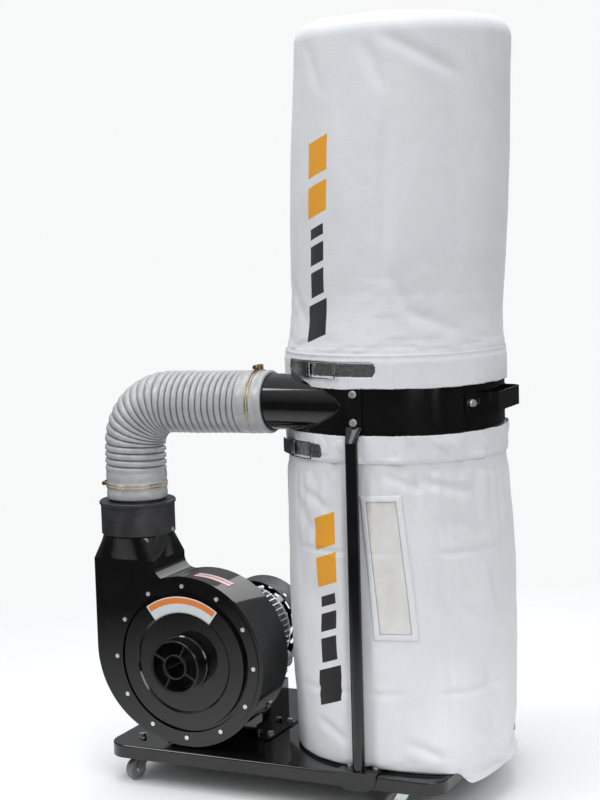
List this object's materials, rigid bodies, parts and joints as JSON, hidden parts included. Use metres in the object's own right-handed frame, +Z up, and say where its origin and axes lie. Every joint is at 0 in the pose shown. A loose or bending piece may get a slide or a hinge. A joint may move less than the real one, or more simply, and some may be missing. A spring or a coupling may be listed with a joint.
{
  "type": "dust collector",
  "caption": "Single-bag dust collector: centrifugal blower and motor on a castered tray, hose to a drum ring between a cloth filter bag above and a collection bag below.",
  "frame": {"origin": "centre of the overall footprint, on the floor under the caster wheels", "axes": "+Z up, X along the base tray from the blower to the bags, -Y towards the side that the blower inlet faces"},
  "size_m": [0.9494, 0.5946, 1.76],
  "materials": {
    "powder_coat_black": "gloss",
    "satin_black_plastic": "satin",
    "bag_cloth": "woven, off-white",
    "clear_film": "translucent film",
    "hose_pvc": "ribbed PVC, semi-gloss",
    "bright_zinc": "zinc plated",
    "yellow_zinc": "yellow zinc",
    "cast_aluminium": "satin casting",
    "machined_steel": "machined",
    "electrical_steel": "laminated",
    "wheel_grey": "moulded",
    "grey_plastic": "moulded",
    "switch_red": "moulded"
  },
  "bodies": {
    "root": {"bag_window": "clear_film", "base_plate": "powder_coat_black", "blower_cover": "powder_coat_black", "blower_housing": "powder_coat_black", "cable_gland": "satin_black_plastic", "capacitor": "cast_aluminium", "capacitor_cover": "grey_plastic", "caster_nuts": "bright_zinc", "caster_stems": "bright_zinc", "collar_screws": "bright_zinc", "collection_bag": "bag_cloth", "cover_screws": "bright_zinc", "cowl_screws": "bright_zinc", "drum_ring": "powder_coat_black", "duct_hose": "hose_pvc", "fan_cowl": "satin_black_plastic", "filter_bag": "bag_cloth", "handle_bolts": "bright_zinc", "hose_clamp_lower": "yellow_zinc", "hose_clamp_upper": "yellow_zinc", "inlet_guard": "satin_black_plastic", "inlet_pipe": "powder_coat_black", "inlet_tube": "powder_coat_black", "lower_clamp_band": "bright_zinc", "motor_bearings": "machined_steel", "motor_foot_bolts": "bright_zinc", "motor_frame": "cast_aluminium", "motor_front_bell": "cast_aluminium", "motor_rear_bell": "cast_aluminium", "motor_stand": "powder_coat_black", "motor_stand_bolts": "bright_zinc", "motor_stator": "electrical_steel", "outlet_collar": "satin_black_plastic", "post_foot_bolts": "bright_zinc", "post_front": "powder_coat_black", "post_rear": "powder_coat_black", "post_top_bolts": "bright_zinc", "ring_handle": "powder_coat_black", "switch_bezel": "satin_black_plastic", "terminal_box": "satin_black_plastic", "terminal_box_lid": "satin_black_plastic", "upper_clamp_band": "bright_zinc"},
    "rotor": {"motor_shaft": "machined_steel", "motor_rotor": "electrical_steel", "cooling_fan": "satin_black_plastic", "impeller": "cast_aluminium", "impeller_bolt": "bright_zinc"},
    "switch": {"switch_rocker": "switch_red"},
    "upper_lever": {"upper_latch_lever": "bright_zinc"},
    "upper_bail": {"upper_latch_bail": "bright_zinc"},
    "lower_lever": {"lower_latch_lever": "bright_zinc"},
    "lower_bail": {"lower_latch_bail": "bright_zinc"},
    "fork_front_left": {"caster_fork_front_left": "bright_zinc"},
    "wheel_front_left": {"caster_wheel_front_left": "wheel_grey"},
    "fork_front_right": {"caster_fork_front_right": "bright_zinc"},
    "wheel_front_right": {"caster_wheel_front_right": "wheel_grey"},
    "fork_rear_left": {"caster_fork_rear_left": "bright_zinc"},
    "wheel_rear_left": {"caster_wheel_rear_left": "wheel_grey"},
    "fork_rear_right": {"caster_fork_rear_right": "bright_zinc"},
    "wheel_rear_right": {"caster_wheel_rear_right": "wheel_grey"}
  },
  "joints": [
    {"name": "rotor_spin", "type": "hinge", "parent": "root", "child": "rotor", "pos_m": [-0.2321, 0.0117, 0.3015], "axis": [0, 1, 0], "continuous": true},
    {"name": "switch_rock", "type": "hinge", "parent": "root", "child": "switch", "pos_m": [-0.3636, 0.0277, 0.32], "axis": [0, -1, 0], "range_deg": [0, 16]},
    {"name": "upper_latch", "type": "hinge", "parent": "root", "child": "upper_lever", "pos_m": [0.09017, -0.22045, 0.981], "axis": [0, 0, 1], "range_deg": [0, 120]},
    {"name": "upper_bail_swing", "type": "hinge", "parent": "upper_lever", "child": "upper_bail", "pos_m": [0.07746, -0.21565, 0.981], "axis": [0, 0, 1], "range_deg": [-135, 0]},
    {"name": "lower_latch", "type": "hinge", "parent": "root", "child": "lower_lever", "pos_m": [0.0288, -0.17944, 0.8], "axis": [0, 0, 1], "range_deg": [0, 120]},
    {"name": "lower_bail_swing", "type": "hinge", "parent": "lower_lever", "child": "lower_bail", "pos_m": [0.01797, -0.17123, 0.8], "axis": [0, 0, 1], "range_deg": [-135, 0]},
    {"name": "swivel_front_left", "type": "hinge", "parent": "root", "child": "fork_front_left", "pos_m": [-0.3791, -0.2003, 0.06], "axis": [0, 0, 1], "continuous": true},
    {"name": "wheel_front_left", "type": "hinge", "parent": "fork_front_left", "child": "wheel_front_left", "pos_m": [-0.3867, -0.22516, 0.025], "axis": [0.9563, -0.2924, 0], "continuous": true},
    {"name": "swivel_front_right", "type": "hinge", "parent": "root", "child": "fork_front_right", "pos_m": [0.2959, -0.2003, 0.06], "axis": [0, 0, 1], "continuous": true},
    {"name": "wheel_front_right", "type": "hinge", "parent": "fork_front_right", "child": "wheel_front_right", "pos_m": [0.27234, -0.21129, 0.025], "axis": [0.4226, -0.9063, 0], "continuous": true},
    {"name": "swivel_rear_left", "type": "hinge", "parent": "root", "child": "fork_rear_left", "pos_m": [-0.3791, 0.2237, 0.06], "axis": [0, 0, 1], "continuous": true},
    {"name": "wheel_rear_left", "type": "hinge", "parent": "fork_rear_left", "child": "wheel_rear_left", "pos_m": [-0.39131, 0.24666, 0.025], "axis": [-0.8829, -0.4695, 0], "continuous": true},
    {"name": "swivel_rear_right", "type": "hinge", "parent": "root", "child": "fork_rear_right", "pos_m": [0.2959, 0.2237, 0.06], "axis": [0, 0, 1], "continuous": true},
    {"name": "wheel_rear_right", "type": "hinge", "parent": "fork_rear_right", "child": "wheel_rear_right", "pos_m": [0.30811, 0.24666, 0.025], "axis": [-0.8829, 0.4695, 0], "continuous": true}
  ],
  "couplings": [
    {"joint": "upper_bail_swing", "follows": "upper_latch", "ratio": -1.1},
    {"joint": "lower_bail_swing", "follows": "lower_latch", "ratio": -1.1}
  ]
}
